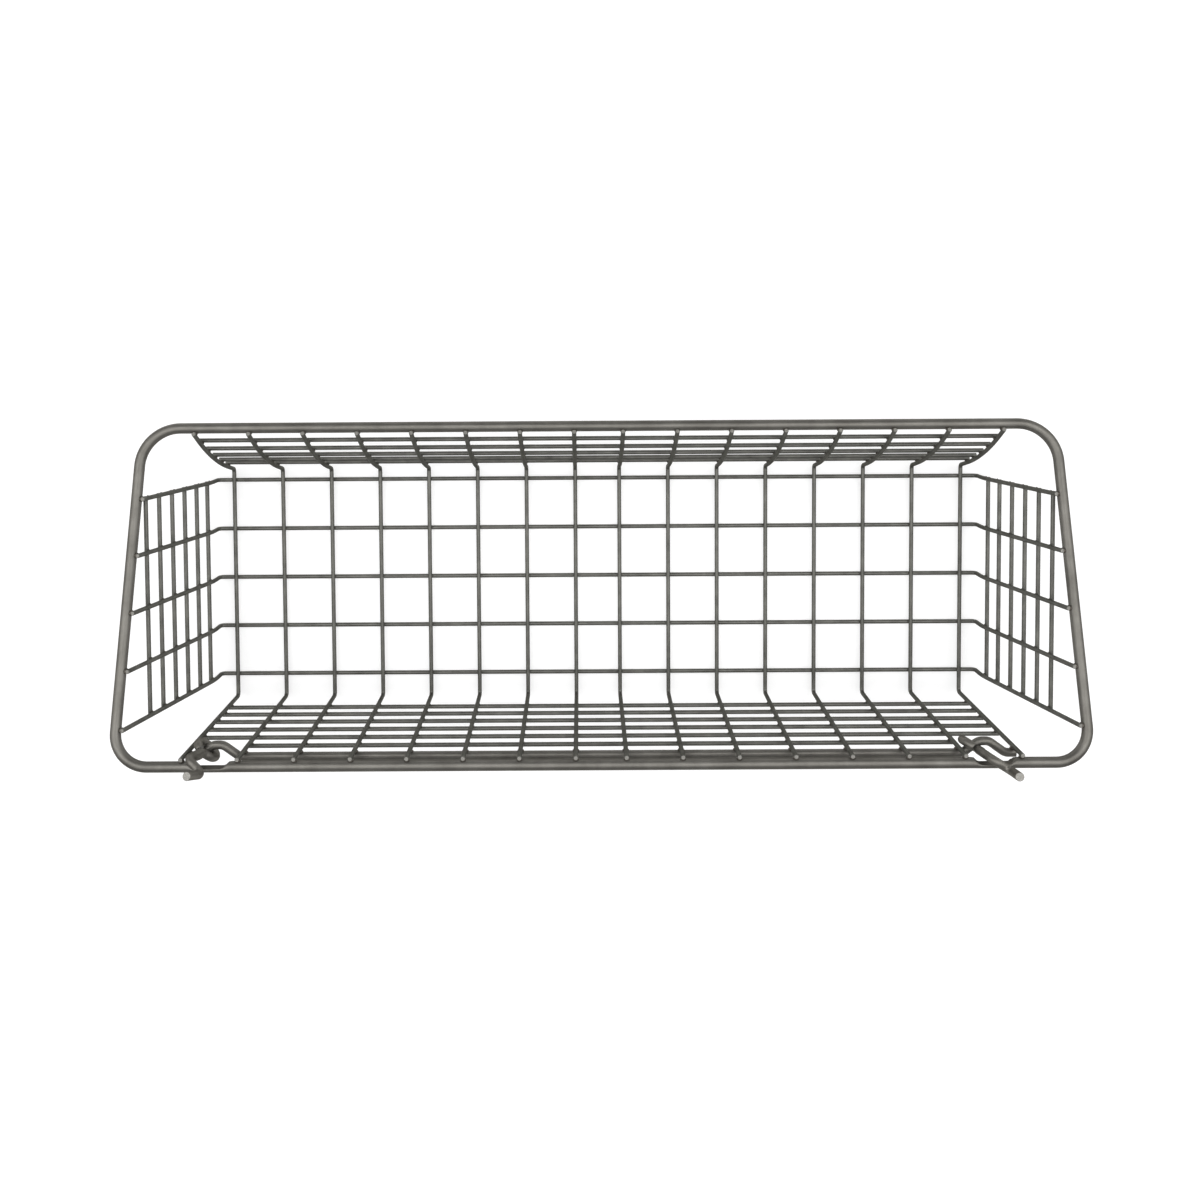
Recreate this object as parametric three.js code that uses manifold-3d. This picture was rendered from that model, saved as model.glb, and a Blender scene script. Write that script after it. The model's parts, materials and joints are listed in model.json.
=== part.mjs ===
// A wire basket that hangs on a pegboard: a welded mesh tray with a heavy rim, a rail behind it
// and two loose hooks whose eyes ride on bumps in the rail.
// Millimetres, +Z up, front towards -Y, board towards +Y. The origin is under the middle long wire,
// on the surface that the floor of the basket stands on.
import * as THREE from "three";
import { mergeVertices } from "three/addons/utils/BufferGeometryUtils.js";
import Module from "manifold-3d";

// Wire diameters, and the gap left between two wires that are welded
const meshWire = 2.1;
const rimWire = 5;
const railWire = 4;
const hookWire = 4;
const weldGap = 0.1;

// Mesh spacing, across being front to back and long end to end, and how far wires pass their last weld
const acrossPitch = 25.4;
const middlePitch = 22.9;
const longPitch = 25.6;
const wallPitch = 12.7;
const acrossPerHalf = 8;
const longCount = 5;
const frontCount = 5;
const backCount = 6;
const sideCount = 6;
const wireOverhang = 1.3;
const sideOverhang = 0.6;

// Floor left between the outermost wires and the bends, and the foot of each wall
const frontLead = 6;
const backLead = 11.3;
const endLead = 9;
const frontFirst = 12.7;
const backFirst = 14.8;
const sideFirst = 12.7;

// Wall slopes from upright in degrees, bends, and the share of a short run that two bends may use
const frontLowDraft = 10.5;
const frontHighDraft = 25.6;
const frontLower = 40;
const frontSweep = 220;
const backDraft = 0.6;
const endDraft = 11.3;
const endFoot = 13;
const endSweep = 60;
const bendRadius = 2.2;
const rimFrontCorner = 18.5;
const rimBackCorner = 15;
const tipStand = 2;
const bendShare = 0.98;

// Rail bumps, which hold the hook eyes clear of the rim
const bumpFromEnd = 13.4;
const bumpSlope = 36;
const bumpSetback = 2.2;
const bumpBend = 5;
const bumpPastEye = 2.2;

// Hooks, and the pressed seats in the rim that their shanks rest in
const boardThickness = 3.2;
const boardClearance = 0.3;
const seatThickness = 2.3;
const seatLength = 13.5;
const seatFromEnd = 12.2;
const seatRoom = 2.1;
const eyeClearance = 1;
const eyeOpening = 48;
const neckBend = 4;
const hookBend = 3.5;
const hookHeadroom = 4.7;
const prongLength = 13.5;
const prongLean = 11;

// How the loose hooks lie in the photograph, in degrees: turned towards the left, tipped away
// from the board, and swayed sideways on the rail
const leftTurn = 58;
const rightTurn = 48;
const leftTip = -7;
const rightTip = 10;
const leftSway = -5;
const rightSway = 0;

// How finely the round wires are faceted, and what counts as no turn and as one point
const wireSides = 8;
const rimSides = 10;
const chordError = 0.12;
const sameAngle = 1e-6;
const samePoint = 1e-4;

const steel = { color: 0x76736b, roughness: 0.42, metalness: 0.85 };
const bareSteel = { color: 0x84827b, roughness: 0.38, metalness: 0.9 };

const radians = THREE.MathUtils.degToRad;
const vec = (x, y, z) => new THREE.Vector3(x, y, z);
const weldDistance = (one, other) => (one + other) / 2 + weldGap;

// A wire's centre line, held as stations: a point and a direction at each
class WireLine extends THREE.Curve {
  constructor(stations, closed = false) {
    super();
    this.stations = stations;
    this.steps = closed ? stations.length : stations.length - 1;
  }

  stationAt(u) {
    return this.stations[Math.round(u * this.steps) % this.stations.length];
  }

  getPointAt(u, target = vec(0, 0, 0)) {
    return target.copy(this.stationAt(u).point);
  }

  getTangentAt(u, target = vec(0, 0, 0)) {
    return target.copy(this.stationAt(u).direction);
  }
}

// Steps that keep an arc's chords within chordError of it
function arcSteps(radius, angle) {
  const most = 2 * Math.acos(Math.max(0, 1 - chordError / radius));
  return Math.max(1, Math.ceil(angle / most));
}

// Stations round an arc that starts at a point, heading one way and turning towards a side
function arcStations(start, heading, side, radius, angle) {
  const steps = arcSteps(radius, angle);
  const centre = start.clone().addScaledVector(side, radius);
  const stations = [];
  for (let i = 0; i <= steps; i++) {
    const turned = (angle * i) / steps;
    const sin = Math.sin(turned);
    const cos = Math.cos(turned);
    stations.push({
      point: centre.clone().addScaledVector(side, -radius * cos).addScaledVector(heading, radius * sin),
      direction: heading.clone().multiplyScalar(cos).addScaledVector(side, sin),
    });
  }
  return stations;
}

// Stations along straight runs between corners, each corner rounded to its own bend radius
function bentStations(corners, closed = false) {
  const count = corners.length;
  const runs = corners.map((corner, i) => corners[(i + 1) % count].point.clone().sub(corner.point));
  const turns = corners.map((corner, i) => {
    const before = runs[(i + count - 1) % count].clone().normalize();
    const after = runs[i].clone().normalize();
    const isEnd = !closed && (i === 0 || i === count - 1);
    const angle = isEnd ? 0 : before.angleTo(after);
    return { before, after, isEnd, angle, reach: (corner.bend ?? 0) * Math.tan(angle / 2) };
  });
  // Two bends that share a run too short for both are made tighter
  const share = turns.map(() => 1);
  for (let i = 0; i < (closed ? count : count - 1); i++) {
    const next = (i + 1) % count;
    const fit = (bendShare * runs[i].length()) / (turns[i].reach + turns[next].reach);
    share[i] = Math.min(share[i], fit);
    share[next] = Math.min(share[next], fit);
  }
  return turns.flatMap(({ before, after, isEnd, angle, reach }, i) => {
    const point = corners[i].point;
    if (isEnd || angle < sameAngle) return [{ point, direction: i === count - 1 ? before : after }];
    const start = point.clone().addScaledVector(before, -reach * share[i]);
    const side = after.clone().addScaledVector(before, -Math.cos(angle)).normalize();
    return arcStations(start, before, side, corners[i].bend * share[i], angle);
  });
}

// The point and direction a given length along some stations
function along(stations, length) {
  let left = length;
  for (let i = 1; i < stations.length; i++) {
    const run = stations[i].point.clone().sub(stations[i - 1].point);
    if (left <= run.length() || i === stations.length - 1) {
      const direction = run.normalize();
      return { point: stations[i - 1].point.clone().addScaledVector(direction, left), direction };
    }
    left -= run.length();
  }
}

// A round section drawn with a few flats, one of them square to the wire's plane of bending
function wireSection(diameter) {
  const points = [];
  for (let i = 0; i < wireSides; i++) {
    const angle = ((i + 0.5) / wireSides) * 2 * Math.PI;
    points.push(new THREE.Vector2(Math.cos(angle), Math.sin(angle)).multiplyScalar(diameter / 2));
  }
  return new THREE.Shape(points);
}

function wireGeometry(stations, diameter) {
  const line = new WireLine(stations);
  return new THREE.ExtrudeGeometry(wireSection(diameter), {
    extrudePath: line,
    steps: line.steps,
    bevelEnabled: false,
  });
}

// A straight wire of a given length, centred on the origin
function straightWire(direction, length, diameter) {
  const half = direction.clone().multiplyScalar(length / 2);
  return wireGeometry(
    [
      { point: half.clone().negate(), direction },
      { point: half, direction },
    ],
    diameter,
  );
}

const basket = new THREE.Group();

function addPiece(name, geometry, finish, parent = basket) {
  const mesh = new THREE.Mesh(geometry, new THREE.MeshStandardMaterial(finish));
  mesh.name = name;
  parent.add(mesh);
  return mesh;
}

// Places of the mesh wires: the long wires lie on the ground and the cross wires lie on them
const acrossX = [];
for (let i = 0; i < acrossPerHalf; i++) {
  const x = middlePitch / 2 + i * acrossPitch;
  acrossX.unshift(-x);
  acrossX.push(x);
}
const acrossHalf = acrossX[acrossX.length - 1];
const longHalf = ((longCount - 1) / 2) * longPitch;
const longZ = (meshWire / 2) * Math.cos(Math.PI / wireSides);
const acrossZ = longZ + weldDistance(meshWire, meshWire);

// Cross wires: the front wall sweeps out towards the rim, the back wall is nearly upright
const frontRise = frontFirst + frontCount * wallPitch + tipStand;
const backRise = backFirst + (backCount + 1) * wallPitch + tipStand;
const upFront = (degrees) => vec(0, -Math.sin(radians(degrees)), Math.cos(radians(degrees)));
const upBack = vec(0, Math.sin(radians(backDraft)), Math.cos(radians(backDraft)));
const frontCorner = vec(0, -longHalf - frontLead, acrossZ);
const backCorner = vec(0, longHalf + backLead, acrossZ);
const frontKnee = frontCorner.clone().addScaledVector(upFront(frontLowDraft), frontLower);
const frontTip = frontKnee.clone().addScaledVector(upFront(frontHighDraft), frontRise - frontLower);
const backTip = backCorner.clone().addScaledVector(upBack, backRise);
const acrossLine = bentStations([
  { point: frontTip },
  { point: frontKnee, bend: frontSweep },
  { point: frontCorner, bend: bendRadius },
  { point: backCorner, bend: bendRadius },
  { point: backTip },
]);
const acrossGeometry = wireGeometry(acrossLine, meshWire);
acrossX.forEach((x, i) => {
  addPiece(`cross_wire_${String(i + 1).padStart(2, "0")}`, acrossGeometry, steel).position.x = x;
});

// Where a wire lies on the outside of the front or back wall, a length below the tips
function onFrontWall(length, diameter) {
  const { point, direction } = along(acrossLine, length);
  const outward = vec(0, direction.z, -direction.y);
  return point.clone().addScaledVector(outward, weldDistance(meshWire, diameter));
}
function onBackWall(length, diameter) {
  const outward = vec(0, upBack.z, -upBack.y);
  return backTip
    .clone()
    .addScaledVector(upBack, -length)
    .addScaledVector(outward, weldDistance(meshWire, diameter));
}

// Straight wires along the front and back walls
const wallWire = straightWire(vec(1, 0, 0), 2 * (acrossHalf + wireOverhang), meshWire);
for (let i = 1; i <= frontCount; i++) {
  const place = onFrontWall(tipStand + (frontCount + 1 - i) * wallPitch, meshWire);
  addPiece(`front_wire_${i}`, wallWire, steel).position.copy(place);
}
const shortWire = straightWire(vec(1, 0, 0), 2 * (acrossHalf - acrossPitch + wireOverhang), meshWire);
for (let i = 1; i <= backCount; i++) {
  const isShort = i === backCount;
  const place = onBackWall(tipStand + (backCount + 2 - i) * wallPitch, meshWire);
  const name = isShort ? "short_back_wire" : `back_wire_${i}`;
  addPiece(name, isShort ? shortWire : wallWire, steel).position.copy(place);
}

// The rim lies in one sloping plane round the outside of all the wire tips
const rimFront = onFrontWall(tipStand, rimWire);
const rimBack = onBackWall(tipStand, rimWire);
const rimSlope = (rimBack.z - rimFront.z) / (rimBack.y - rimFront.y);
const rimHeight = (y) => rimFront.z + rimSlope * (y - rimFront.y);
const endCornerX = acrossHalf + endLead;
const endKneeZ = longZ + endFoot;
const endWallX = (z) => endCornerX + (z - endKneeZ) * Math.tan(radians(endDraft));
function onEndWall(z, diameter) {
  return endWallX(z) + weldDistance(meshWire, diameter) / Math.cos(radians(endDraft));
}

const wasm = await Module();
wasm.setup();

function toSolid(geometry) {
  const bare = new THREE.BufferGeometry();
  bare.setAttribute("position", geometry.getAttribute("position"));
  bare.setIndex(geometry.index);
  const merged = mergeVertices(bare, samePoint);
  return new wasm.Manifold(
    new wasm.Mesh({
      numProp: 3,
      vertProperties: merged.getAttribute("position").array,
      triVerts: new Uint32Array(merged.index.array),
    }),
  );
}

function toGeometry(solid) {
  const { vertProperties, triVerts } = solid.getMesh();
  const geometry = new THREE.BufferGeometry();
  geometry.setAttribute("position", new THREE.BufferAttribute(vertProperties, 3));
  geometry.setIndex(new THREE.BufferAttribute(triVerts, 1));
  return geometry;
}

// The rim ring starts in the middle of the back, so that a flat of its section faces the board there
function rimRing() {
  const lastLong = (rimBack.y - longHalf - meshWire / 2) * Math.hypot(1, rimSlope);
  const backBend = Math.min(rimBackCorner, lastLong);
  const backX = onEndWall(rimBack.z, rimWire);
  const frontX = onEndWall(rimFront.z, rimWire);
  const stations = bentStations(
    [
      { point: vec(0, rimBack.y, rimBack.z) },
      { point: vec(backX, rimBack.y, rimBack.z), bend: backBend },
      { point: vec(frontX, rimFront.y, rimFront.z), bend: rimFrontCorner },
      { point: vec(-frontX, rimFront.y, rimFront.z), bend: rimFrontCorner },
      { point: vec(-backX, rimBack.y, rimBack.z), bend: backBend },
    ],
    true,
  );
  const line = new WireLine(stations, true);
  return new THREE.TubeGeometry(line, line.steps, rimWire / 2, rimSides, true);
}

// What a press takes off the inside of the rim to seat a hook, with ends at 45 degrees
const seatX = acrossHalf - seatFromEnd;
const seatY = rimBack.y + rimWire / 2 - seatThickness;
function seatCutter(x) {
  const mouth = seatLength / 2 + rimWire;
  const outline = new THREE.Shape([
    new THREE.Vector2(x - mouth, seatY - rimWire),
    new THREE.Vector2(x + mouth, seatY - rimWire),
    new THREE.Vector2(x + seatLength / 2, seatY),
    new THREE.Vector2(x - seatLength / 2, seatY),
  ]);
  const depth = 2 * rimWire;
  const cutter = new THREE.ExtrudeGeometry(outline, { depth, bevelEnabled: false });
  return cutter.translate(0, 0, rimBack.z - rimWire);
}

const seated = [-seatX, seatX].reduce(
  (rim, x) => rim.subtract(toSolid(seatCutter(x))),
  toSolid(rimRing()),
);
addPiece("rim", toGeometry(seated), steel);

// End walls: an upright foot, then a slope outwards. Long wires rise to the rim's own height
for (let i = 0; i < longCount; i++) {
  const y = i * longPitch - longHalf;
  const tipZ = rimHeight(y) + tipStand;
  const line = bentStations([
    { point: vec(-endWallX(tipZ), 0, tipZ) },
    { point: vec(-endCornerX, 0, endKneeZ), bend: endSweep },
    { point: vec(-endCornerX, 0, longZ), bend: bendRadius },
    { point: vec(endCornerX, 0, longZ), bend: bendRadius },
    { point: vec(endCornerX, 0, endKneeZ), bend: endSweep },
    { point: vec(endWallX(tipZ), 0, tipZ) },
  ]);
  addPiece(`long_wire_${i + 1}`, wireGeometry(line, meshWire), steel).position.y = y;
}

// Straight wires across the outside of the two end walls
const sideWire = straightWire(vec(0, 1, 0), 2 * (longHalf + sideOverhang), meshWire);
const endWall = bentStations([
  { point: vec(endCornerX, 0, longZ) },
  { point: vec(endCornerX, 0, endKneeZ), bend: endSweep },
  { point: vec(endWallX(rimBack.z), 0, rimBack.z) },
]);
for (let i = 1; i <= sideCount; i++) {
  const { point, direction } = along(endWall, sideFirst + (i - 1) * wallPitch);
  const outward = vec(direction.z, 0, -direction.x);
  const place = point.addScaledVector(outward, weldDistance(meshWire, meshWire));
  for (const [side, sign] of [["left", -1], ["right", 1]]) {
    addPiece(`${side}_side_wire_${i}`, sideWire, steel).position.set(sign * place.x, 0, place.z);
  }
}

// The rail runs one pitch under the rim and bumps inwards where it carries the hooks
const railPlace = onBackWall(tipStand + wallPitch, railWire);
const bumpX = acrossHalf - bumpFromEnd;
const eyeY = seatY - hookWire / 2 - seatRoom;
const bumpDepth = railPlace.y - eyeY + bumpPastEye;
const bumpHalf = acrossPitch - bumpFromEnd - bumpSetback;
const bumpRun = bumpDepth / Math.tan(radians(bumpSlope));

function bumpCorners(x) {
  const bend = bumpBend;
  const outY = railPlace.y;
  const inY = railPlace.y - bumpDepth;
  return [
    { point: vec(x - bumpHalf, outY, railPlace.z), bend },
    { point: vec(x - bumpHalf + bumpRun, inY, railPlace.z), bend },
    { point: vec(x + bumpHalf - bumpRun, inY, railPlace.z), bend },
    { point: vec(x + bumpHalf, outY, railPlace.z), bend },
  ];
}

// A middle run and two bumped ends, which meet at the welds next to the bumps
const railEnd = acrossHalf + wireOverhang;
const railSplit = acrossHalf - acrossPitch;
const middleRail = straightWire(vec(1, 0, 0), 2 * railSplit - weldGap, railWire);
addPiece("hanging_rail", middleRail, steel).position.copy(railPlace);
const leftBump = bentStations([
  { point: vec(-railEnd, railPlace.y, railPlace.z) },
  ...bumpCorners(-bumpX),
  { point: vec(-railSplit, railPlace.y, railPlace.z) },
]);
addPiece("left_rail_bump", wireGeometry(leftBump, railWire), steel);
const rightBump = bentStations([
  { point: vec(railSplit, railPlace.y, railPlace.z) },
  ...bumpCorners(bumpX),
  { point: vec(railEnd, railPlace.y, railPlace.z) },
]);
addPiece("right_rail_bump", wireGeometry(rightBump, railWire), steel);

// A hook in its own upright plane: eye round the origin, shank, crossing over the rim, prong.
// +Y is towards the board.
function hookGeometry() {
  const up = vec(0, 0, 1);
  const toBoard = vec(0, 1, 0);
  const eyeRadius = (railWire + hookWire) / 2 + eyeClearance;
  const neckHeight = Math.sqrt(eyeRadius ** 2 + 2 * eyeRadius * neckBend);
  const neckTurn = Math.atan2(neckHeight, neckBend);
  const eyeStart = neckTurn + radians(eyeOpening);
  const eyeSweep = 2 * Math.PI - radians(eyeOpening);
  const inward = vec(0, -Math.cos(eyeStart), -Math.sin(eyeStart));
  const eye = arcStations(
    inward.clone().multiplyScalar(-eyeRadius),
    vec(0, -Math.sin(eyeStart), Math.cos(eyeStart)),
    inward,
    eyeRadius,
    eyeSweep,
  );
  const { point, direction } = eye[eye.length - 1];
  const neckSide = vec(0, direction.z, -direction.y);
  const neck = arcStations(point, direction, neckSide, neckBend, neckTurn);
  const rise = wallPitch * upBack.z + (rimWire + hookWire) / 2 + hookHeadroom;
  const crossing = hookWire + seatThickness + boardThickness + boardClearance;
  const lean = radians(prongLean);
  const shoulder = up.clone().multiplyScalar(rise);
  const elbow = shoulder.clone().addScaledVector(toBoard, crossing);
  const prongTip = elbow.clone().add(vec(0, -Math.sin(lean), Math.cos(lean)).multiplyScalar(prongLength));
  const upper = bentStations([
    { point: vec(0, 0, neckHeight) },
    { point: shoulder, bend: hookBend },
    { point: elbow, bend: hookBend },
    { point: prongTip },
  ]);
  return wireGeometry([...eye, ...neck.slice(1), ...upper.slice(1)], hookWire);
}

// Both eyes ride on the right-hand leg of their bump
const hook = hookGeometry();
const downLeg = (railPlace.y - eyeY) / bumpDepth;
const poses = [
  { side: "left", x: -bumpX, turn: leftTurn, tip: leftTip, sway: leftSway },
  { side: "right", x: bumpX, turn: rightTurn, tip: rightTip, sway: rightSway },
];
for (const { side, x, turn, tip, sway } of poses) {
  const mesh = addPiece(`${side}_hook`, hook, bareSteel);
  mesh.position.set(x + bumpHalf - bumpRun * downLeg, eyeY, railPlace.z);
  mesh.rotation.set(radians(tip), radians(sway), radians(turn), "ZYX");
}

export default basket;
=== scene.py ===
"""Looks of a welded wire basket that hangs on a pegboard by two loose wire hooks."""
import json
import math

import bmesh
import bpy
import numpy as np
from mathutils import Matrix, Quaternion, Vector
from mathutils.bvhtree import BVHTree


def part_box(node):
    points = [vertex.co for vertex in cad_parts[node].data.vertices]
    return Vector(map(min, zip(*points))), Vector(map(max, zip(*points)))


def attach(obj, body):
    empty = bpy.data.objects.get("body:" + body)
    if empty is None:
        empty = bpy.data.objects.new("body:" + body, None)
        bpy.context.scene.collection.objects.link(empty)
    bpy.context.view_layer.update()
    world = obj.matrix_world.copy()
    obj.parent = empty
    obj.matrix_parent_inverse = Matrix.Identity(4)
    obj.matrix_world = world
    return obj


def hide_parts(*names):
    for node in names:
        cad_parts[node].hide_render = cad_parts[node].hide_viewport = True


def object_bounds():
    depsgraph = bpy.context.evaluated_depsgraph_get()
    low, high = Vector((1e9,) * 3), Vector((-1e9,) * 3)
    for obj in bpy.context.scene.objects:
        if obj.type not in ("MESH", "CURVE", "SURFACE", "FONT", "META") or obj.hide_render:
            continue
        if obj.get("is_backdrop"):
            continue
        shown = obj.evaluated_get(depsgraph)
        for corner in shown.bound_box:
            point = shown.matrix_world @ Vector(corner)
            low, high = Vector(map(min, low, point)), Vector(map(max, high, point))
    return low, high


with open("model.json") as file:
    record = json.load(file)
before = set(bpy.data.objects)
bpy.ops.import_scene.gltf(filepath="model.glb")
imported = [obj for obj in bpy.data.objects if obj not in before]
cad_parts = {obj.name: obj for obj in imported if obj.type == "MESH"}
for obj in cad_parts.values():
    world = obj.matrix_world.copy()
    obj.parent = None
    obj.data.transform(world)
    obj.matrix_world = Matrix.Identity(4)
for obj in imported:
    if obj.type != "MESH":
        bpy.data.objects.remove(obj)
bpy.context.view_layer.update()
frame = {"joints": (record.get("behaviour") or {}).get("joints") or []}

# Long wires: five lengths of drawn steel wire, sheared off and bent up at both ends.
# They lie lowest, so the basket stands on them, and their tips are welded inside the rim.
mesh_wire = 0.0021
mesh_bend = 0.0022
end_draft = math.radians(11.3)
end_foot = 0.013
end_roll = 0.06
long_nodes = [f"long_wire_{i}" for i in range(1, 6)]

# How finely a wire is shaped, and how many sides its plain solid has
wire_sides = 14
feed_step = 0.0025
bend_step = math.radians(7)
cut_chamfer = 0.00018
solid_sides = 8


class WireBender:
    """Feeds and bends one wire, leaving a ring of its skin behind at every small step."""

    def __init__(self, diameter, point, heading, fed, step=feed_step):
        self.mesh = bmesh.new()
        self.straight = self.mesh.verts.layers.float_vector.new("straight")
        self.mesh.verts.layers.float.new("heat")
        self.point = Vector(point)
        self.heading = Vector(heading).normalized()
        self.fed = fed
        self.step = step
        disc = bmesh.ops.create_circle(self.mesh, cap_ends=True, segments=wire_sides, radius=diameter / 2)
        for corner in disc["verts"]:
            corner[self.straight] = (corner.co.x, corner.co.y, fed)
        turn = self.heading.to_track_quat("Z", "Y").to_matrix().to_4x4()
        bmesh.ops.transform(self.mesh, matrix=Matrix.Translation(self.point) @ turn, verts=disc["verts"])
        self.ring = list(self.mesh.edges)

    def _take(self, made, length):
        """Goes on from the ring just made, and notes how far along the wire it lies."""
        self.fed += length
        self.ring = [part for part in made if isinstance(part, bmesh.types.BMEdge)]
        for corner in {end for edge in self.ring for end in edge.verts}:
            x, y, _ = corner[self.straight]
            corner[self.straight] = (x, y, self.fed)

    def feed(self, length):
        """Pushes a straight length out."""
        steps = max(1, round(length / self.step))
        for _ in range(steps):
            made = bmesh.ops.extrude_edge_only(self.mesh, edges=self.ring)["geom"]
            ends = {part for part in made if isinstance(part, bmesh.types.BMVert)}
            bmesh.ops.translate(self.mesh, vec=self.heading * length / steps, verts=list(ends))
            edges = [part for part in made if isinstance(part, bmesh.types.BMEdge)]
            self._take([edge for edge in edges if all(end in ends for end in edge.verts)], length / steps)
        self.point += self.heading * length

    def bend(self, radius, angle, towards):
        """Bends the wire round a former of that radius, towards a side."""
        axis = self.heading.cross(towards).normalized()
        centre = self.point + towards * radius
        steps = max(2, math.ceil(angle / bend_step), math.ceil(angle * radius / self.step))
        for _ in range(steps):
            made = bmesh.ops.spin(
                self.mesh, geom=self.ring, cent=centre, axis=axis, angle=angle / steps, steps=1
            )["geom_last"]
            self._take(made, radius * angle / steps)
        turn = Quaternion(axis, angle)
        self.point = centre + turn @ (self.point - centre)
        self.heading.rotate(turn)

    def follow(self, corners):
        """Runs through corner points, each with its bend radius, and straight on to the last one."""
        points = [Vector(point) for point, _ in corners]
        for (_, radius), corner, after in zip(corners, points, points[1:]):
            leaving = (after - corner).normalized()
            angle = self.heading.angle(leaving)
            self.feed((corner - self.point).length - radius * math.tan(angle / 2))
            towards = (leaving - self.heading * math.cos(angle)).normalized()
            self.bend(radius, angle, towards)
        self.feed((points[-1] - self.point).length)

    def cut_faces(self):
        """The flat faces across the wire, the only ones with a corner for each side of it."""
        return [face for face in self.mesh.faces if len(face.verts) == wire_sides]

    def cut_off(self):
        """Closes the far end and takes the burr off both sheared ends."""
        bmesh.ops.contextual_create(self.mesh, geom=self.ring)
        bmesh.ops.recalc_face_normals(self.mesh, faces=self.mesh.faces)
        edges = list({edge for face in self.cut_faces() for edge in face.edges})
        bmesh.ops.bevel(
            self.mesh,
            geom=edges,
            offset=cut_chamfer,
            segments=2,
            profile=0.5,
            affect="EDGES",
            material=-1,
        )
        for face in self.mesh.faces:
            face.smooth = True
        for face in self.cut_faces():
            face.smooth = False
            face.material_index = 1
        return self.mesh

    def join_ends(self):
        """Butts the far end against the start, for a ring."""
        bmesh.ops.delete(self.mesh, geom=self.cut_faces(), context="FACES_ONLY")
        bmesh.ops.remove_doubles(self.mesh, verts=self.mesh.verts, dist=cut_chamfer)
        bmesh.ops.recalc_face_normals(self.mesh, faces=self.mesh.faces)
        for face in self.mesh.faces:
            face.smooth = True
        return self.mesh


def make_piece(name, mesh, finishes, body, slot, *nodes):
    """Turns a finished mesh into a piece that rides on a body and stands for its nodes."""
    data = bpy.data.meshes.new(name)
    mesh.to_mesh(data)
    mesh.free()
    for finish in finishes:
        data.materials.append(finish)
    piece = bpy.data.objects.new(name, data)
    bpy.context.scene.collection.objects.link(piece)
    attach(piece, body)
    if nodes:
        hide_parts(*nodes)
    return piece


def add_node(tree, kind, **inputs):
    """Adds a shader node and sets the sockets named, with _ for a space."""
    made = tree.nodes.new(kind)
    for name, value in inputs.items():
        made.inputs[name.replace("_", " ")].default_value = value
    return made


def add_maths(tree, operation, *values, kind="ShaderNodeMath"):
    """Adds a node that works on the values of sockets."""
    made = tree.nodes.new(kind)
    made.operation = operation
    for value, socket in zip(values, made.inputs):
        tree.links.new(value, socket)
    return made


def effect_group(name, inputs, outputs):
    """Starts a node group with named float inputs and outputs."""
    tree = bpy.data.node_groups.new(name, "ShaderNodeTree")
    for socket, value in inputs.items():
        made = tree.interface.new_socket(socket, in_out="INPUT", socket_type="NodeSocketFloat")
        made.default_value = value
    for socket in outputs:
        tree.interface.new_socket(socket, in_out="OUTPUT", socket_type="NodeSocketFloat")
    return tree, tree.nodes.new("NodeGroupInput"), tree.nodes.new("NodeGroupOutput")


def drawn_wire_group():
    """Die lines that run along the wire round every bend, and slow uneven tone."""
    tree, given, out = effect_group(
        "drawn_wire", {"Lines": 2600.0, "Stretch": 0.02, "Patches": 90.0}, ("Lines", "Tone")
    )
    place = tree.nodes.new("ShaderNodeAttribute")
    place.attribute_name = "straight"
    stretch = add_node(tree, "ShaderNodeCombineXYZ", X=1.0, Y=1.0)
    tree.links.new(given.outputs["Stretch"], stretch.inputs["Z"])
    drawn = add_maths(
        tree, "MULTIPLY", place.outputs["Vector"], stretch.outputs["Vector"], kind="ShaderNodeVectorMath"
    )
    lines = add_node(tree, "ShaderNodeTexNoise", Detail=3.0, Roughness=0.6)
    tree.links.new(drawn.outputs["Vector"], lines.inputs["Vector"])
    tree.links.new(given.outputs["Lines"], lines.inputs["Scale"])
    patches = add_node(tree, "ShaderNodeTexNoise", Detail=4.0, Roughness=0.65)
    tree.links.new(place.outputs["Vector"], patches.inputs["Vector"])
    tree.links.new(given.outputs["Patches"], patches.inputs["Scale"])
    tree.links.new(lines.outputs["Fac"], out.inputs["Lines"])
    tree.links.new(patches.outputs["Fac"], out.inputs["Tone"])
    return tree


def weld_heat_group():
    """How far the heat of a weld has browned the steel round it, with a ragged edge."""
    tree, given, out = effect_group("weld_heat", {"Ragged": 700.0, "Swing": 0.5, "Least": 0.75}, ("Heat",))
    mark = tree.nodes.new("ShaderNodeAttribute")
    mark.attribute_name = "heat"
    place = tree.nodes.new("ShaderNodeTexCoord")
    ragged = add_node(tree, "ShaderNodeTexNoise", Detail=2.0)
    tree.links.new(place.outputs["Object"], ragged.inputs["Vector"])
    tree.links.new(given.outputs["Ragged"], ragged.inputs["Scale"])
    sway = add_maths(
        tree, "MULTIPLY_ADD", ragged.outputs["Fac"], given.outputs["Swing"], given.outputs["Least"]
    )
    heat = add_maths(tree, "MULTIPLY", mark.outputs["Fac"], sway.outputs["Value"])
    heat.use_clamp = True
    tree.links.new(heat.outputs["Value"], out.inputs["Heat"])
    return tree


drawn_wire = drawn_wire_group()
weld_heat = weld_heat_group()
noise_low = 0.3
noise_high = 0.7
steel_metal = 0.85
steel_edge = (0.22, 0.215, 0.2)
die_line_depth = 0.00003
torn_metal = 0.6
torn_roughness = 0.55
torn_grain = 1800.0


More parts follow.
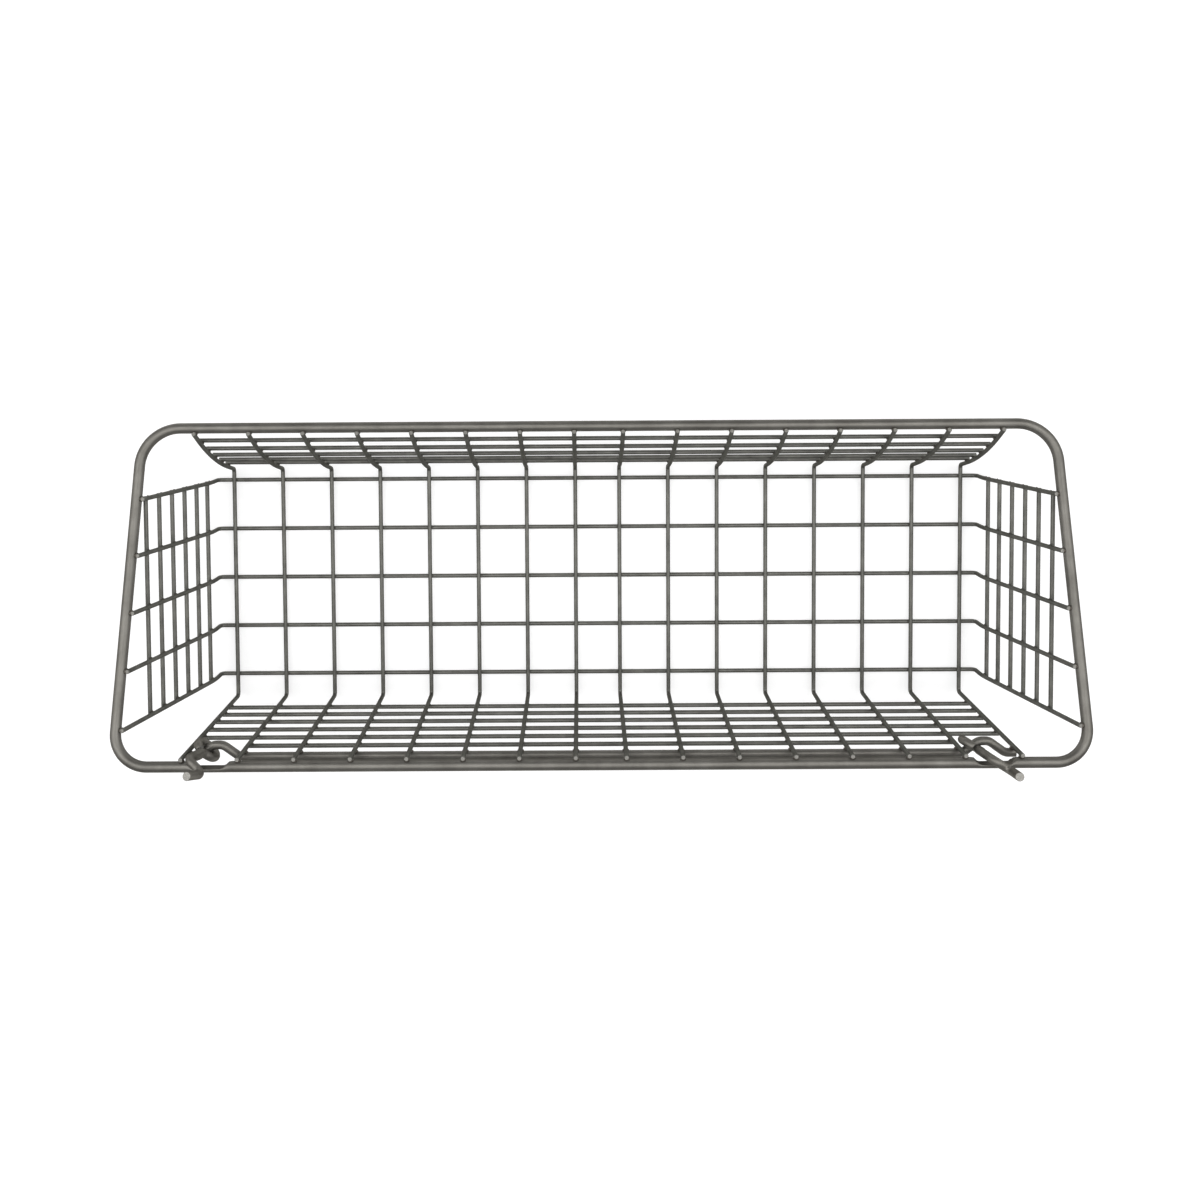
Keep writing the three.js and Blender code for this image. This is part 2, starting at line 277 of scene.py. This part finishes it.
def mix_colours(tree, amount, first, second):
    """Mixes two colours, each a plain colour or a socket, by a socket's value."""
    mix = tree.nodes.new("ShaderNodeMix")
    mix.data_type = "RGBA"
    tree.links.new(amount, mix.inputs["Factor"])
    for name, colour in (("A", first), ("B", second)):
        socket = next(s for s in mix.inputs if s.name == name and s.type == "RGBA")
        if isinstance(colour, tuple):
            socket.default_value = (*colour, 1.0)
        else:
            tree.links.new(colour, socket)
    return next(s for s in mix.outputs if s.type == "RGBA")


def map_value(tree, value, low, high):
    """Spreads noise, which mostly lies between its low and its high, over a new range."""
    spread = add_node(
        tree, "ShaderNodeMapRange", From_Min=noise_low, From_Max=noise_high, To_Min=low, To_Max=high
    )
    tree.links.new(value, spread.inputs["Value"])
    return spread.outputs["Result"]


def add_bump(tree, skin, height, strength, depth):
    """Raises the skin a little by a socket's value."""
    bump = add_node(tree, "ShaderNodeBump", Strength=strength, Distance=depth)
    tree.links.new(height, bump.inputs["Height"])
    tree.links.new(bump.outputs["Normal"], skin.inputs["Normal"])


def steel_finish(name, dark, pale, brown, smooth, rough, patches):
    """Satin drawn steel: die lines, uneven tone, and brown heat marks at the welds."""
    finish = bpy.data.materials.new(name)
    finish.use_nodes = True
    tree = finish.node_tree
    skin = tree.nodes["Principled BSDF"]
    skin.inputs["Metallic"].default_value = steel_metal
    skin.inputs["Specular Tint"].default_value = (*steel_edge, 1.0)
    drawn = tree.nodes.new("ShaderNodeGroup")
    drawn.node_tree = drawn_wire
    drawn.inputs["Patches"].default_value = patches
    heated = tree.nodes.new("ShaderNodeGroup")
    heated.node_tree = weld_heat
    tone = map_value(tree, drawn.outputs["Tone"], 0.0, 1.0)
    bare = mix_colours(tree, tone, dark, pale)
    tinted = mix_colours(tree, heated.outputs["Heat"], bare, brown)
    tree.links.new(tinted, skin.inputs["Base Color"])
    tree.links.new(map_value(tree, drawn.outputs["Lines"], smooth, rough), skin.inputs["Roughness"])
    add_bump(tree, skin, drawn.outputs["Lines"], strength=1.0, depth=die_line_depth)
    return finish


def torn_finish(name, dark, pale, metal, depth):
    """Steel with no die lines: the torn face that shears leave, or the fused skin of a weld."""
    finish = bpy.data.materials.new(name)
    finish.use_nodes = True
    tree = finish.node_tree
    skin = tree.nodes["Principled BSDF"]
    skin.inputs["Metallic"].default_value = metal
    skin.inputs["Roughness"].default_value = torn_roughness
    place = tree.nodes.new("ShaderNodeTexCoord")
    torn = add_node(tree, "ShaderNodeTexNoise", Scale=torn_grain, Detail=3.0)
    tree.links.new(place.outputs["Object"], torn.inputs["Vector"])
    tone = map_value(tree, torn.outputs["Fac"], 0.0, 1.0)
    tree.links.new(mix_colours(tree, tone, dark, pale), skin.inputs["Base Color"])
    add_bump(tree, skin, torn.outputs["Fac"], strength=0.5, depth=depth)
    return finish


mesh_steel = steel_finish(
    "mesh_wire_steel",
    dark=(0.113, 0.112, 0.102),
    pale=(0.192, 0.19, 0.173),
    brown=(0.138, 0.122, 0.104),
    smooth=0.42,
    rough=0.58,
    patches=90.0,
)
sheared_end = torn_finish(
    "sheared_end",
    dark=(0.2, 0.194, 0.178),
    pale=(0.32, 0.312, 0.288),
    metal=torn_metal,
    depth=0.0001,
)
wires = {}
lot_length = 0.7


def lot_place(skipped=0):
    """How far along the lot of wire the next piece is cut, so that no two have the same marks."""
    return lot_length * (len(wires) + skipped)


def add_wire(node, bender):
    """Cuts a mesh wire off and puts it in the place of its node."""
    finishes = (mesh_steel, sheared_end)
    wires[node] = make_piece(f"{node}_steel", bender.cut_off(), finishes, "basket", "wire_steel", node)


def node_middle(node):
    """Middle of the box round a node's solid."""
    low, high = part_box(node)
    return (low + high) / 2


def flat_reach(diameter):
    """From the middle of a wire to the flats of its plain solid, which its box is measured to."""
    return diameter / 2 * math.cos(math.pi / solid_sides)


def end_tip(node):
    """Middle of a long wire's cut end on the right."""
    _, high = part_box(node)
    x = high.x - mesh_reach * math.cos(end_draft)
    return Vector((x, node_middle(node).y, high.z - mesh_reach * math.sin(end_draft)))


mesh_reach = flat_reach(mesh_wire)
long_low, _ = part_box(long_nodes[0])
long_z = long_low.z + mesh_reach
knee_z = long_z + end_foot
first_tip = end_tip(long_nodes[0])
corner_x = first_tip.x - (first_tip.z - knee_z) * math.tan(end_draft)
down_left = Vector((math.sin(end_draft), 0, -math.cos(end_draft)))

for node in long_nodes:
    tip = end_tip(node)
    bender = WireBender(mesh_wire, (-tip.x, tip.y, tip.z), down_left, lot_place())
    bender.follow(
        [
            ((-corner_x, tip.y, knee_z), end_roll),
            ((-corner_x, tip.y, long_z), mesh_bend),
            ((corner_x, tip.y, long_z), mesh_bend),
            ((corner_x, tip.y, knee_z), end_roll),
            (tip, 0),
        ]
    )
    add_wire(node, bender)

# Cross wires: sixteen more of the same wire, laid over the long ones from front to back.
# The back wall stands nearly upright, and the front wall is rolled outwards above its first wires.
back_draft = math.radians(0.6)
front_low_draft = math.radians(10.5)
front_high_draft = math.radians(25.6)
front_lower = 0.040
front_rise = 0.0782
front_roll = 0.220
across_pitch = 0.0254
cross_nodes = [f"cross_wire_{i:02d}" for i in range(1, 17)]

cross_low, cross_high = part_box(cross_nodes[0])
cross_z = cross_low.z + mesh_reach
down_back = Vector((0, -math.sin(back_draft), -math.cos(back_draft)))
up_low = Vector((0, -math.sin(front_low_draft), math.cos(front_low_draft)))
up_high = Vector((0, -math.sin(front_high_draft), math.cos(front_high_draft)))

# The bent shape, in the plane across the middle of the basket
back_y = cross_high.y - mesh_reach * math.cos(back_draft)
back_tip = Vector((0, back_y, cross_high.z - mesh_reach * math.sin(back_draft)))
back_corner = back_tip + down_back * (back_tip.z - cross_z) / math.cos(back_draft)
front_wall = up_low * front_lower + up_high * (front_rise - front_lower)
front_y = cross_low.y + mesh_reach * math.cos(front_high_draft) - front_wall.y
front_corner = Vector((0, front_y, cross_z))
front_knee = front_corner + up_low * front_lower
front_tip = front_corner + front_wall

for node in cross_nodes:
    place = Vector((node_middle(node).x, 0, 0))
    bender = WireBender(mesh_wire, place + back_tip, down_back, lot_place())
    bender.follow(
        [
            (place + back_corner, mesh_bend),
            (place + front_corner, mesh_bend),
            (place + front_knee, front_roll),
            (place + front_tip, 0),
        ]
    )
    add_wire(node, bender)

# Wall wires: straight lengths welded along the outside of the four walls, half a pitch apart.
# The top one on the back is shorter, so that the hook eyes have room at its ends.
wall_nodes = [f"front_wire_{i}" for i in range(1, 6)]
wall_nodes += [f"back_wire_{i}" for i in range(1, 6)] + ["short_back_wire"]
wall_nodes += [f"{side}_side_wire_{i}" for side in ("left", "right") for i in range(1, 7)]

for node in wall_nodes:
    low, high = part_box(node)
    size = high - low
    run = Vector((size.x, 0, 0)) if size.x > size.y else Vector((0, size.y, 0))
    bender = WireBender(mesh_wire, node_middle(node) - run / 2, run, lot_place())
    bender.feed(run.length)
    add_wire(node, bender)

# Rim: heavier wire bent to a rounded four-sided ring that slopes down to the front, butt welded.
# A press has flattened it in two short places behind, where the hooks' shanks lie.
rim_wire = 0.005
fine_step = 0.001
rim_front_bend = 0.0185
rim_back_bend = 0.015
weld_gap = 0.0001
tip_stand = 0.002
seat_thickness = 0.0023
seat_length = 0.0135
seat_from_end = 0.0122
seat_spread = 0.2

rim_steel = steel_finish(
    "rim_steel",
    dark=(0.134, 0.128, 0.115),
    pale=(0.21, 0.202, 0.184),
    brown=(0.15, 0.133, 0.114),
    smooth=0.4,
    rough=0.54,
    patches=60.0,
)
rim_space = (mesh_wire + rim_wire) / 2 + weld_gap
off_front = Vector((0, -up_high.z, up_high.y))
off_back = Vector((0, -down_back.z, down_back.y))
rim_front = front_tip - up_high * tip_stand + off_front * rim_space
rim_back = back_tip + down_back * tip_stand + off_back * rim_space
rim_slope = (rim_back.z - rim_front.z) / (rim_back.y - rim_front.y)
across_half = node_middle(cross_nodes[-1]).x


def end_wall_x(z, diameter):
    """How far out a wire of that diameter lies on the end walls, at a height."""
    wall = corner_x + (z - knee_z) * math.tan(end_draft)
    return wall + ((mesh_wire + diameter) / 2 + weld_gap) / math.cos(end_draft)


def bend_rim():
    """Bends the ring, starting and ending in the middle of the back."""
    back_x = end_wall_x(rim_back.z, rim_wire)
    front_x = end_wall_x(rim_front.z, rim_wire)
    bender = WireBender(rim_wire, rim_back, (1, 0, 0), lot_place(), fine_step)
    bender.follow(
        [
            ((back_x, rim_back.y, rim_back.z), rim_back_bend),
            ((front_x, rim_front.y, rim_front.z), rim_front_bend),
            ((-front_x, rim_front.y, rim_front.z), rim_front_bend),
            ((-back_x, rim_back.y, rim_back.z), rim_back_bend),
            (rim_back, 0),
        ]
    )
    return bender.join_ends()


def press_seat(mesh, x):
    """Squeezes the inside of the rim flat round x, with shoulders at 45 degrees."""
    inner_y = rim_back.y - rim_wire / 2
    seat_y = rim_back.y + rim_wire / 2 - seat_thickness
    shoulder = seat_y - inner_y
    for corner in mesh.verts:
        past = abs(corner.co.x - x) - seat_length / 2
        if past > shoulder or corner.co.y < inner_y - rim_wire:
            continue
        pressed = min(1.0, 1.0 - past / shoulder)
        corner.co.y = max(corner.co.y, inner_y + shoulder * pressed)
        corner.co.z += (corner.co.z - rim_back.z) * seat_spread * pressed


ring = bend_rim()
seat_x = across_half - seat_from_end
for x in (-seat_x, seat_x):
    press_seat(ring, x)
wires["rim"] = make_piece("rim_ring", ring, (rim_steel,), "basket", "wire_steel", "rim")

# Hanging rail: one wire along the outside of the back wall, a pitch under the rim.
# Near each end it is bent inwards and out again, and a hook's eye rides on that bump.
rail_wire = 0.004
rail_bend = 0.005
bump_slope = math.radians(36)
bump_from_end = 0.0134
bump_setback = 0.0022

_, rail_y, rail_z = node_middle("hanging_rail")
bump_low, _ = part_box("left_rail_bump")
bump_y = bump_low.y + flat_reach(rail_wire)
bump_x = across_half - bump_from_end
bump_half = across_pitch - bump_from_end - bump_setback
bump_run = (rail_y - bump_y) / math.tan(bump_slope)
route = []
for x in (-bump_x, bump_x):
    route += [
        ((x - bump_half, rail_y, rail_z), rail_bend),
        ((x - bump_half + bump_run, bump_y, rail_z), rail_bend),
        ((x + bump_half - bump_run, bump_y, rail_z), rail_bend),
        ((x + bump_half, rail_y, rail_z), rail_bend),
    ]
bender = WireBender(rail_wire, (bump_low.x, rail_y, rail_z), (1, 0, 0), lot_place())
bender.follow([*route, ((-bump_low.x, rail_y, rail_z), 0)])
wires["rail"] = make_piece(
    "hanging_rail_steel",
    bender.cut_off(),
    (rim_steel, sheared_end),
    "basket",
    "wire_steel",
    "hanging_rail",
    "left_rail_bump",
    "right_rail_bump",
)

# Welds: every crossing is squeezed between electrodes and fused in one pulse of current.
# A little steel is pushed out into the corners, and the heat leaves a brown mark.
mesh_weld = (0.00118, 0.00118, 0.00055)
rim_weld = (0.0014, 0.0019, 0.0007)
rail_weld = (0.0016, 0.0017, 0.0008)
heat_reach = 0.0048
heat_at_weld = 1.15

weld_steel = torn_finish(
    "weld_steel",
    dark=(0.1, 0.09, 0.077),
    pale=(0.158, 0.142, 0.122),
    metal=steel_metal,
    depth=0.00005,
)
along_x = Vector((1, 0, 0))
along_y = Vector((0, 1, 0))
depsgraph = bpy.context.evaluated_depsgraph_get()
skins = {node: BVHTree.FromObject(piece, depsgraph) for node, piece in wires.items()}
heat_spots = {node: [] for node in wires}


def weld(group, under, over, place, run, size):
    """Fuses the wire over, whose centre is at place and runs along run, to the wire under it."""
    spot, _, _, _ = skins[under].find_nearest(place)
    normal = (place - spot).normalized()
    along = (run - normal * run.dot(normal)).normalized()
    turn = Matrix((along, normal.cross(along), normal)).transposed().to_4x4()
    bmesh.ops.create_icosphere(
        group,
        subdivisions=2,
        radius=1.0,
        matrix=Matrix.Translation(spot) @ turn @ Matrix.Diagonal((*size, 1.0)),
    )
    heat_spots[under].append(spot)
    heat_spots[over].append(spot)


def finish_welds(name, group):
    """Smooths a group of welds and makes it part of the basket."""
    for face in group.faces:
        face.smooth = True
    make_piece(name, group, (weld_steel,), "basket", "wire_steel")


def mark_heat(piece, spots):
    """Browns a wire's skin round its welds, fully beside them and less further off."""
    data = piece.data
    places = np.zeros(len(data.vertices) * 3)
    data.vertices.foreach_get("co", places)
    places = places.reshape(-1, 3)
    heat = np.zeros(len(places))
    for spot in spots:
        near = np.linalg.norm(places - np.array(spot), axis=1)
        heat = np.maximum(heat, np.clip(heat_at_weld - near / heat_reach, 0, 1))
    data.attributes["heat"].data.foreach_set("value", heat)


floor_welds = bmesh.new()
for long_node in long_nodes:
    for cross_node in cross_nodes:
        place = Vector((node_middle(cross_node).x, node_middle(long_node).y, cross_z))
        weld(floor_welds, long_node, cross_node, place, along_y, mesh_weld)
finish_welds("floor_welds", floor_welds)

wall_welds = bmesh.new()
for wall_node in wall_nodes:
    middle = node_middle(wall_node)
    if "side" in wall_node:
        for long_node in long_nodes:
            place = Vector((middle.x, node_middle(long_node).y, middle.z))
            weld(wall_welds, long_node, wall_node, place, along_y, mesh_weld)
        continue
    low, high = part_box(wall_node)
    for cross_node in cross_nodes:
        x = node_middle(cross_node).x
        if low.x < x < high.x:
            place = Vector((x, middle.y, middle.z))
            weld(wall_welds, cross_node, wall_node, place, along_x, mesh_weld)
finish_welds("wall_welds", wall_welds)

rim_welds = bmesh.new()
for cross_node in cross_nodes:
    x = node_middle(cross_node).x
    for side in (rim_front, rim_back):
        weld(rim_welds, cross_node, "rim", Vector((x, side.y, side.z)), along_x, rim_weld)
for long_node in long_nodes:
    y = node_middle(long_node).y
    z = rim_front.z + rim_slope * (y - rim_front.y)
    for sign in (-1, 1):
        place = Vector((sign * end_wall_x(z, rim_wire), y, z))
        weld(rim_welds, long_node, "rim", place, along_y, rim_weld)
finish_welds("rim_welds", rim_welds)

rail_welds = bmesh.new()
for cross_node in cross_nodes:
    place = Vector((node_middle(cross_node).x, rail_y, rail_z))
    weld(rail_welds, cross_node, "rail", place, along_x, rail_weld)
finish_welds("rail_welds", rail_welds)

for node, spots in heat_spots.items():
    mark_heat(wires[node], spots)

# Hooks: two loose forms of wire. An eye goes round the rail's bump, the shank lies in the rim's seat,
# and the end is bent over the rim and up again to stand behind the board.
hook_wire = 0.004
eye_clearance = 0.001
eye_opening = math.radians(48)
neck_bend = 0.004
hook_bend = 0.0035
hook_headroom = 0.0047
board_thickness = 0.0032
board_clearance = 0.0003
prong_length = 0.0135
prong_lean = math.radians(11)
hook_tips = {"left_hook": math.radians(-7), "right_hook": math.radians(10)}

hook_steel = steel_finish(
    "hook_steel",
    dark=(0.138, 0.131, 0.118),
    pale=(0.224, 0.215, 0.194),
    brown=(0.15, 0.133, 0.114),
    smooth=0.4,
    rough=0.55,
    patches=110.0,
)
bright_end = torn_finish(
    "bright_end",
    dark=(0.24, 0.234, 0.215),
    pale=(0.37, 0.361, 0.335),
    metal=torn_metal,
    depth=0.0001,
)


def form_hook(fed):
    """Forms a hook in an upright plane: eye round the origin, board towards +Y."""
    eye = (rail_wire + hook_wire) / 2 + eye_clearance
    neck_height = math.sqrt(eye * eye + 2 * eye * neck_bend)
    neck_turn = math.atan2(neck_height, neck_bend)
    first = neck_turn + eye_opening
    outward = Vector((0, math.cos(first), math.sin(first)))
    bender = WireBender(hook_wire, outward * eye, (0, -outward.z, outward.y), fed, fine_step)
    bender.bend(eye, 2 * math.pi - eye_opening, -outward)
    bender.bend(neck_bend, neck_turn, Vector((0, bender.heading.z, -bender.heading.y)))
    rise = rim_back.z - rail_z + (rim_wire + hook_wire) / 2 + hook_headroom
    crossing = hook_wire + seat_thickness + board_thickness + board_clearance
    elbow = Vector((0, crossing, rise))
    prong = Vector((0, -math.sin(prong_lean), math.cos(prong_lean))) * prong_length
    bender.follow([((0, 0, rise), hook_bend), (elbow, hook_bend), (elbow + prong, 0)])
    return bender.cut_off()


for joint in frame["joints"]:
    node = joint["child"]
    pin = Vector(joint["axis"])
    to_board = Vector((0, 0, 1)).cross(pin).normalized()
    turn = Matrix((pin, to_board, pin.cross(to_board))).transposed().to_4x4()
    lean = Matrix.Rotation(hook_tips[node], 4, "X")
    # The two names differ in length, so the hooks are cut from different places on the lot
    form = form_hook(lot_place(skipped=len(node)))
    bmesh.ops.transform(form, matrix=Matrix.Translation(joint["pos_m"]) @ turn @ lean, verts=form.verts)
    make_piece(f"{node}_steel", form, (hook_steel, bright_end), node, "hook_steel", node)

# Studio: a plain white floor that keeps a soft shadow, softboxes overhead and on both sides, and dim walls.
# The camera stands over the basket, a little to the front, as in the photograph.
floor_gap = 0.0001
floor_size = 8.0
floor_grey = 0.55
floor_glow = 0.54
wall_grey = 0.26
side_place = (0.95, -0.25, 0.95)
side_width = 1.2
side_power = 8.0
overhead_place = (0, -0.1, 1.45)
overhead_width = 1.6
overhead_power = 12.5


def paper_finish():
    """Pale paper that looks white to the camera and in reflections, shadows apart."""
    paper = bpy.data.materials.new("studio_paper")
    paper.use_nodes = True
    tree = paper.node_tree
    tree.nodes.remove(tree.nodes["Principled BSDF"])
    matt = add_node(tree, "ShaderNodeBsdfDiffuse", Color=(floor_grey, floor_grey, floor_grey, 1.0))
    glow = add_node(tree, "ShaderNodeEmission", Color=(1.0, 1.0, 1.0, 1.0))
    path = tree.nodes.new("ShaderNodeLightPath")
    seen = path.outputs["Is Camera Ray"]
    for kind in ("Is Glossy Ray", "Is Transmission Ray"):
        seen = add_maths(tree, "MAXIMUM", seen, path.outputs[kind]).outputs["Value"]
    level = add_maths(tree, "MULTIPLY", seen)
    level.inputs[1].default_value = floor_glow
    tree.links.new(level.outputs["Value"], glow.inputs["Strength"])
    both = tree.nodes.new("ShaderNodeAddShader")
    tree.links.new(matt.outputs["BSDF"], both.inputs[0])
    tree.links.new(glow.outputs["Emission"], both.inputs[1])
    tree.links.new(both.outputs["Shader"], tree.nodes["Material Output"].inputs["Surface"])
    return paper


def studio_floor():
    """A sheet of paper just under the basket."""
    mesh = bmesh.new()
    bmesh.ops.create_grid(mesh, x_segments=1, y_segments=1, size=floor_size / 2)
    bmesh.ops.translate(mesh, vec=(0, 0, -floor_gap), verts=mesh.verts)
    data = bpy.data.meshes.new("studio_floor")
    mesh.to_mesh(data)
    mesh.free()
    data.materials.append(paper_finish())
    floor = bpy.data.objects.new("studio_floor", data)
    bpy.context.scene.collection.objects.link(floor)
    floor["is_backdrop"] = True


def softbox(name, place, width, power):
    """A square soft lamp that faces the basket."""
    lamp = bpy.data.lights.new(name, "AREA")
    lamp.shape = "SQUARE"
    lamp.size = width
    lamp.energy = power
    box = bpy.data.objects.new(name, lamp)
    box.location = place
    box.rotation_euler = (-Vector(place)).to_track_quat("-Z", "Y").to_euler()
    bpy.context.scene.collection.objects.link(box)


studio_floor()
for side, sign in (("left", -1), ("right", 1)):
    x, y, z = side_place
    softbox(f"{side}_softbox", (sign * x, y, z), side_width, side_power)
softbox("overhead_softbox", overhead_place, overhead_width, overhead_power)
world = bpy.data.worlds.new("studio_walls")
world.use_nodes = True
walls = world.node_tree.nodes["Background"]
walls.inputs["Color"].default_value = (wall_grey, wall_grey, wall_grey, 1.0)
walls.inputs["Strength"].default_value = 1.0
bpy.context.scene.world = world
bpy.context.scene.view_settings.view_transform = "Standard"

camera_place = (0.00797, -0.1287, 0.7182)
camera_tilt = -0.05153
camera_pan = 0.0024
camera_roll = -0.006
focal_pixels = 1377.04
frame_pixels = 1200
axis_pixel = (578.09, 400.48)

lens = bpy.data.cameras.new("photo_camera")
lens.sensor_width = 36.0
lens.lens = lens.sensor_width * focal_pixels / frame_pixels
lens.shift_x = 0.5 - axis_pixel[0] / frame_pixels
lens.shift_y = axis_pixel[1] / frame_pixels - 0.5
lens.clip_start = 0.01
camera = bpy.data.objects.new("photo_camera", lens)
aim = Matrix.Rotation(math.pi, 4, "Z") @ Matrix.Rotation(camera_tilt, 4, "X")
aim = aim @ Matrix.Rotation(camera_pan, 4, "Y") @ Matrix.Rotation(camera_roll, 4, "Z")
camera.matrix_world = Matrix.Translation(camera_place) @ aim
bpy.context.scene.collection.objects.link(camera)
bpy.context.scene.camera = camera

low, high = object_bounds()
